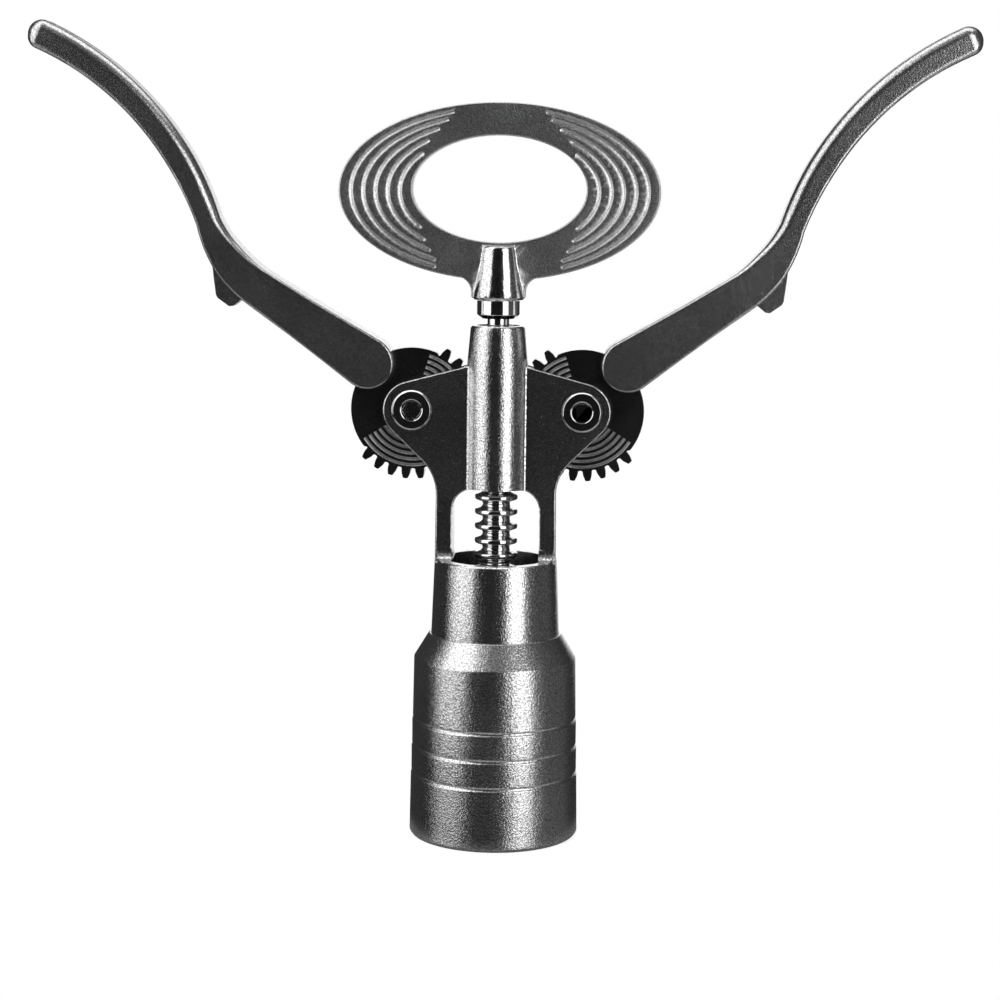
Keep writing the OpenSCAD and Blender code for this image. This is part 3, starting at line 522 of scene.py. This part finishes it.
handleSizes = {
    "middleBelowTop": 26 * mm,  # from the ring's top down to its middle
    "besideBoss": 11 * mm,      # out from the axis, the boss ends before it
    "lineFloor": 0.7,           # share of half the thickness, the CAD lines lie above it
    "hole": (25.7 * mm, 15.65 * mm),
    "lineCount": 5,             # at each end of the ring, on each face
    "lineRadius": 0.9 * mm,     # of the round cutter
    "lineLift": 0.55 * mm,      # of the cutter's middle over the face
    "lowEnds": (66, 39),        # degrees below the ring's middle, outermost and innermost line
    "highEnds": (73, 41),       # and above it
    "lowFall": 1.7,
    "highFall": 1.5,
    "lineStep": 3,              # degrees between the points of a cutter
    "endShape": ((0.0, 0.1), (0.15, 0.53), (0.45, 0.84), (1.0, 1.0)),   # way in, share of the radius
    "endClear": 1.5,            # times the length of an end, where the plain points start
    "rimRound": 0.45 * mm,
    "bossRound": 1.3 * mm,      # of the boss's upper end
    "bossRise": 0.3 * mm,       # over the ring's face, what is higher is surely the boss
    "bossEndDepth": 0.4 * mm,   # edges this near to its top make up its upper end
    "faceMargin": 0.05 * mm,
}


def addTube(bm, points, radii, width, sides=8):
    # Adds a closed tube through the points, made from a bevelled curve
    data = bpy.data.curves.new("route", "CURVE")
    data.dimensions = "3D"
    data.bevel_depth = width
    data.bevel_resolution = sides // 2 - 1
    data.use_fill_caps = True
    spline = data.splines.new("POLY")
    spline.points.add(len(points) - 1)
    for target, point, share in zip(spline.points, points, radii):
        target.co = (*point, 1)
        target.radius = share
    route = bpy.data.objects.new("route", data)
    bpy.context.scene.collection.objects.link(route)
    mesh = bpy.data.meshes.new_from_object(route.evaluated_get(bpy.context.evaluated_depsgraph_get()))
    bm.from_mesh(mesh)
    bmesh.ops.remove_doubles(bm, verts=bm.verts, dist=mergeWithin)
    bpy.data.objects.remove(route)
    bpy.data.curves.remove(data)
    bpy.data.meshes.remove(mesh)


def partWay(ends, share):
    return ends[0] + (ends[1] - ends[0]) * share


def lineRoute(sizes, outer, middleZ, index, side, y):
    # Points of one cutter and its share of the full radius, round at both ends
    count = sizes["lineCount"]
    a, b = (partWay(reach, (index + 1) / (count + 1)) for reach in zip(outer, sizes["hole"]))
    inward = index / (count - 1)
    low = partWay(sizes["lowEnds"], inward ** sizes["lowFall"])
    high = partWay(sizes["highEnds"], inward ** sizes["highFall"])
    steps = round((high + low) / sizes["lineStep"])
    angles = [-low + (high + low) * i / steps for i in range(steps + 1)]
    tip = math.degrees(sizes["lineRadius"] / b)
    clear = sizes["endClear"] * tip
    stations = [(-low + tip * t, share) for t, share in sizes["endShape"]]
    stations += [(angle, 1.0) for angle in angles if -low + clear < angle < high - clear]
    stations += [(high - tip * t, share) for t, share in reversed(sizes["endShape"])]
    points = []
    for angle, _ in stations:
        turn = math.radians(angle)
        points.append((side * a * math.cos(turn), y, middleZ + b * math.sin(turn)))
    return points, [share for _, share in stations]


def fillRingLines(sizes):
    # The ring without its CAD lines, as plain triangles for the boolean, and half its thickness
    bm = bmesh.new()
    bm.from_mesh(frame["nodes"]["ring_handle"].data)
    bmesh.ops.remove_doubles(bm, verts=bm.verts, dist=mergeWithin)
    beside = sizes["besideBoss"]
    plateHalf = max(abs(v.co.y) for v in bm.verts if abs(v.co.x) > beside)
    hollow = [f for f in bm.faces
              if all(abs(v.co.x) > beside and abs(v.co.y) > sizes["lineFloor"] * plateHalf for v in f.verts)
              and any(abs(v.co.y) < plateHalf - flatMargin for v in f.verts)]
    bmesh.ops.delete(bm, geom=hollow, context="FACES")
    filled = bmesh.ops.holes_fill(bm, edges=[e for e in bm.edges if e.is_boundary], sides=0)["faces"]
    bmesh.ops.triangulate(bm, faces=filled)
    bmesh.ops.recalc_face_normals(bm, faces=bm.faces)
    mesh = bpy.data.meshes.new("ringWhole")
    bm.to_mesh(mesh)
    bm.free()
    return mesh, plateHalf


def makeLineCutters(sizes, plateHalf):
    middleZ = handleHigh.z - sizes["middleBelowTop"]
    outer = (handleHigh.x, handleHigh.z - middleZ)
    bm = bmesh.new()
    for index in range(sizes["lineCount"]):
        for side in (-1, 1):
            for face in (-1, 1):
                y = face * (plateHalf + sizes["lineLift"])
                points, radii = lineRoute(sizes, outer, middleZ, index, side, y)
                addTube(bm, points, radii, sizes["lineRadius"])
    bmesh.ops.recalc_face_normals(bm, faces=bm.faces)
    mesh = bpy.data.meshes.new("cutters")
    bm.to_mesh(mesh)
    bm.free()
    return mesh


def cutAway(wholeMesh, cutterMesh):
    whole = bpy.data.objects.new("ringWhole", wholeMesh)
    cutter = bpy.data.objects.new("cutters", cutterMesh)
    for thing in (whole, cutter):
        bpy.context.scene.collection.objects.link(thing)
    cut = whole.modifiers.new("cut", "BOOLEAN")
    cut.operation, cut.solver, cut.object = "DIFFERENCE", "EXACT", cutter
    mesh = bpy.data.meshes.new_from_object(whole.evaluated_get(bpy.context.evaluated_depsgraph_get()))
    for thing in (whole, cutter):
        bpy.data.objects.remove(thing)
    bm = bmesh.new()
    bm.from_mesh(mesh)
    return bm


def makeRingHandle(sizes):
    # The CAD lines are filled and cut again as round-ended hollows
    filled, plateHalf = fillRingLines(sizes)
    bm = cutAway(filled, makeLineCutters(sizes, plateHalf))
    margin = sizes["faceMargin"]

    def onRim(edge):
        return liesAt(edge, plateHalf)

    roundEdges(bm, sizes["rimRound"], least=70, segments=3, chosen=onRim, clamp=False)
    bossTop = max(v.co.z for v in bm.verts if abs(v.co.y) > plateHalf + sizes["bossRise"])

    def onBossEnd(edge):
        near = all(abs(v.co.z - bossTop) < sizes["bossEndDepth"] and abs(v.co.y) > plateHalf - margin
                   for v in edge.verts)
        return near and any(abs(v.co.y) > plateHalf + margin for v in edge.verts)

    roundEdges(bm, sizes["bossRound"], least=30, segments=5, chosen=onBossEnd, clamp=False)
    for f in bm.faces:
        if abs(f.calc_center_median().y) > plateHalf + margin:
            f.material_index = 1
    return finishPiece(bm, "ringHandle", "ring_handle", [satinHandle, polishedBoss])


piece = makeRingHandle(handleSizes)
print("piece", piece.name, len(piece.data.polygons), "faces")


wormSizes = {
    "shankTop": 58 * mm, "shankEnd": 45.6 * mm, "neckLength": 0.6 * mm, "shankRadius": 2 * mm,
    "helixStart": 44.5 * mm, "tip": 1.2 * mm,
    "wireRadius": 1.45 * mm, "helixRadius": 3.1 * mm, "pitch": 9.2 * mm,
    "spread": 0.8,          # turns over which the wire moves out to its helix
    "taper": 0.7,           # turns over which it runs out to its point
    "pointShare": 0.12,     # of its radius, left at the point
    "perTurn": 28,
    "sides": 16,
}


def makeWorm(sizes):
    # One wire: a straight shank, a neck, and a right-hand helix that runs out to a point
    length = sizes["helixStart"] - sizes["tip"]
    turns = length / sizes["pitch"]
    steps = math.ceil(turns * sizes["perTurn"])
    shank = sizes["shankRadius"] / sizes["wireRadius"]
    neckTop = sizes["shankEnd"] + sizes["neckLength"]
    points = [(0, 0, height) for height in (sizes["shankTop"], neckTop, sizes["shankEnd"])]
    radii = [shank, shank, 0.5 * (1 + shank)]
    for i in range(steps + 1):
        turned = turns * i / steps
        out = sizes["helixRadius"] * math.sin(math.pi / 2 * min(1, turned / sizes["spread"]))
        around = -2 * math.pi * turned
        height = sizes["helixStart"] - length * i / steps
        points.append((out * math.cos(around), out * math.sin(around), height))
        radii.append(min(1, sizes["pointShare"] + (turns - turned) / sizes["taper"]))
    bm = bmesh.new()
    addTube(bm, points, radii, sizes["wireRadius"], sides=sizes["sides"])
    bmesh.ops.recalc_face_normals(bm, faces=bm.faces)
    return finishPiece(bm, "wormWire", "worm", [wormSteel], smoothUnder=50)


piece = makeWorm(wormSizes)
print("piece", piece.name, len(piece.data.polygons), "faces")

keptNodes = {
    "rack_spindle": polishedSteel, "bell_stop_ring": ringBrass, "bell_o_ring": blackRubber,
    "bottle_guide": blackNylon, "gear_bush_left": bearingBronze, "gear_bush_right": bearingBronze,
    "gear_washers_left": washerSteel, "gear_washers_right": washerSteel,
}
for node, material in keptNodes.items():
    data = frame["nodes"][node].data
    data.materials.clear()
    data.materials.append(material)
print("kept nodes finished")


floorLook = {
    "radius": 0.040,
    "fade": (0.027, 0.038),     # from the axis, where it starts to turn clear and where it is clear
    "colour": grey(0.55),
    "lift": 0.68,               # light of its own that brings it to white for the camera
    "glossShare": 0.15,         # how much of the lit floor the metal shows
    "segments": 96,
}


def seenRays(tree):
    # Whether a ray is the camera's, whether it is glossy or a transmission ray, and whether it is any
    rays = addNode(tree, "ShaderNodeLightPath").outputs
    shiny = mathNode(tree, "MAXIMUM", rays["Is Glossy Ray"], rays["Is Transmission Ray"])
    return rays["Is Camera Ray"], shiny, mathNode(tree, "MAXIMUM", rays["Is Camera Ray"], shiny)


def makeFloor(look):
    # A pale disc that turns clear towards its edge
    bm = bmesh.new()
    bmesh.ops.create_circle(bm, cap_ends=True, segments=look["segments"], radius=look["radius"])
    mesh = bpy.data.meshes.new("floor")
    bm.to_mesh(mesh)
    bm.free()
    floor = bpy.data.objects.new("floor", mesh)
    bpy.context.scene.collection.objects.link(floor)
    material = bpy.data.materials.new("paleFloor")
    material.use_nodes = True
    tree = material.node_tree
    tree.nodes.clear()
    place = addNode(tree, "ShaderNodeTexCoord").outputs["Object"]
    fromAxis = addNode(tree, "ShaderNodeVectorMath", operation="LENGTH")
    feed(tree, fromAxis.inputs[0], place)
    clear = rampBetween(tree, fromAxis.outputs["Value"], *look["fade"])
    _, shiny, seen = seenRays(tree)
    plain = addNode(tree, "ShaderNodeBsdfDiffuse")
    plain.inputs["Color"].default_value = look["colour"]
    lift = addNode(tree, "ShaderNodeEmission")
    feed(tree, lift.inputs["Strength"], mathNode(tree, "MULTIPLY", seen, look["lift"]))
    lifted = addNode(tree, "ShaderNodeAddShader")
    tree.links.new(plain.outputs[0], lifted.inputs[0])
    tree.links.new(lift.outputs[0], lifted.inputs[1])
    dark = addNode(tree, "ShaderNodeEmission")
    dark.inputs["Strength"].default_value = 0.0
    dimmed = mixShaders(tree, mathNode(tree, "MULTIPLY", shiny, 1 - look["glossShare"]), lifted, dark)
    faded = mixShaders(tree, clear, dimmed, addNode(tree, "ShaderNodeBsdfTransparent"))
    tree.links.new(faded.outputs[0], addNode(tree, "ShaderNodeOutputMaterial").inputs["Surface"])
    mesh.materials.append(material)


worldLook = {
    "diffuse": 0.42,            # the plain level that lights the object
    # The camera sees plain white; metal sees, along an axis: (from, to, level before, level after)
    "backdrop": (0.985, 0.995, 0.0, 1.0),       # Y
    "side": (0.72, 0.9, 0.0, 0.07),             # X
    "top": (0.5, 0.85, 0.0, 0.20),              # Z
    "bottom": (-0.35, -0.65, 0.0, 0.40),        # Z
    "bottomFront": (0.5, 0.3, 0.0, 1.0),        # Y, keeps the bottom's light away from the backdrop
    "ends": (0.1, 0.6, 0.008, 0.03),            # Y, the front's level and the back's
}


def makeWorld(look):
    # White background; away from it the room is dim, so that the metal keeps its dark bands
    world = bpy.data.worlds.new("studio")
    bpy.context.scene.world = world
    world.use_nodes = True
    tree = world.node_tree
    tree.nodes.clear()
    way = addNode(tree, "ShaderNodeSeparateXYZ")
    feed(tree, way.inputs[0], addNode(tree, "ShaderNodeTexCoord").outputs["Generated"])
    axes = {"backdrop": "Y", "side": "X", "top": "Z", "bottom": "Z", "bottomFront": "Y", "ends": "Y"}
    part = {name: rampBetween(tree, way.outputs[axis], *look[name]) for name, axis in axes.items()}
    bottom = mathNode(tree, "MULTIPLY", part["bottom"], part["bottomFront"])
    room = mathNode(tree, "ADD", mathNode(tree, "ADD", part["side"], part["top"]),
                    mathNode(tree, "ADD", bottom, part["ends"]))
    isCamera, _, seen = seenRays(tree)
    seenLevel = mathNode(tree, "MAXIMUM", mathNode(tree, "MAXIMUM", room, part["backdrop"]), isCamera)
    level = addNode(tree, "ShaderNodeMix", data_type="FLOAT")
    feed(tree, level.inputs["Factor"], seen)
    feed(tree, level.inputs["A"], look["diffuse"])
    feed(tree, level.inputs["B"], seenLevel)
    background = addNode(tree, "ShaderNodeBackground")
    background.inputs["Color"].default_value = grey(1.0)
    feed(tree, background.inputs["Strength"], level.outputs["Result"])
    tree.links.new(background.outputs[0], addNode(tree, "ShaderNodeOutputWorld").inputs["Surface"])


lampAim = Vector((0, 0, 0.12))
lamps = {
    # name: (azimuth from the front, distance, height of its middle, width, height, radiance)
    "leftBox": (-62, 1.10, 0.60, 1.10, 1.85, 1.6),
    "rightStrip": (41, 1.15, 0.30, 0.58, 1.20, 2.6),
    "backBox": (174, 1.25, 0.40, 0.75, 1.30, 1.0),
    "topBox": (180, 0.08, 1.20, 1.50, 0.70, 1.6),
}


def addLamp(name, azimuth, distance, middle, width, height, radiance):
    turn = math.radians(azimuth)
    place = Vector((distance * math.sin(turn), -distance * math.cos(turn), middle))
    data = bpy.data.lights.new(name, "AREA")
    data.shape = "RECTANGLE"
    data.size, data.size_y = width, height
    data.energy = radiance * math.pi * width * height
    lamp = bpy.data.objects.new(name, data)
    lamp.location = place
    lamp.rotation_mode = "QUATERNION"
    lamp.rotation_quaternion = (lampAim - place).to_track_quat("-Z", "Y")
    lamp.visible_camera = False
    bpy.context.scene.collection.objects.link(lamp)


makeFloor(floorLook)
makeWorld(worldLook)
for name, values in lamps.items():
    addLamp(name, *values)
bpy.context.scene.view_settings.view_transform = "Standard"
print("stage lit")
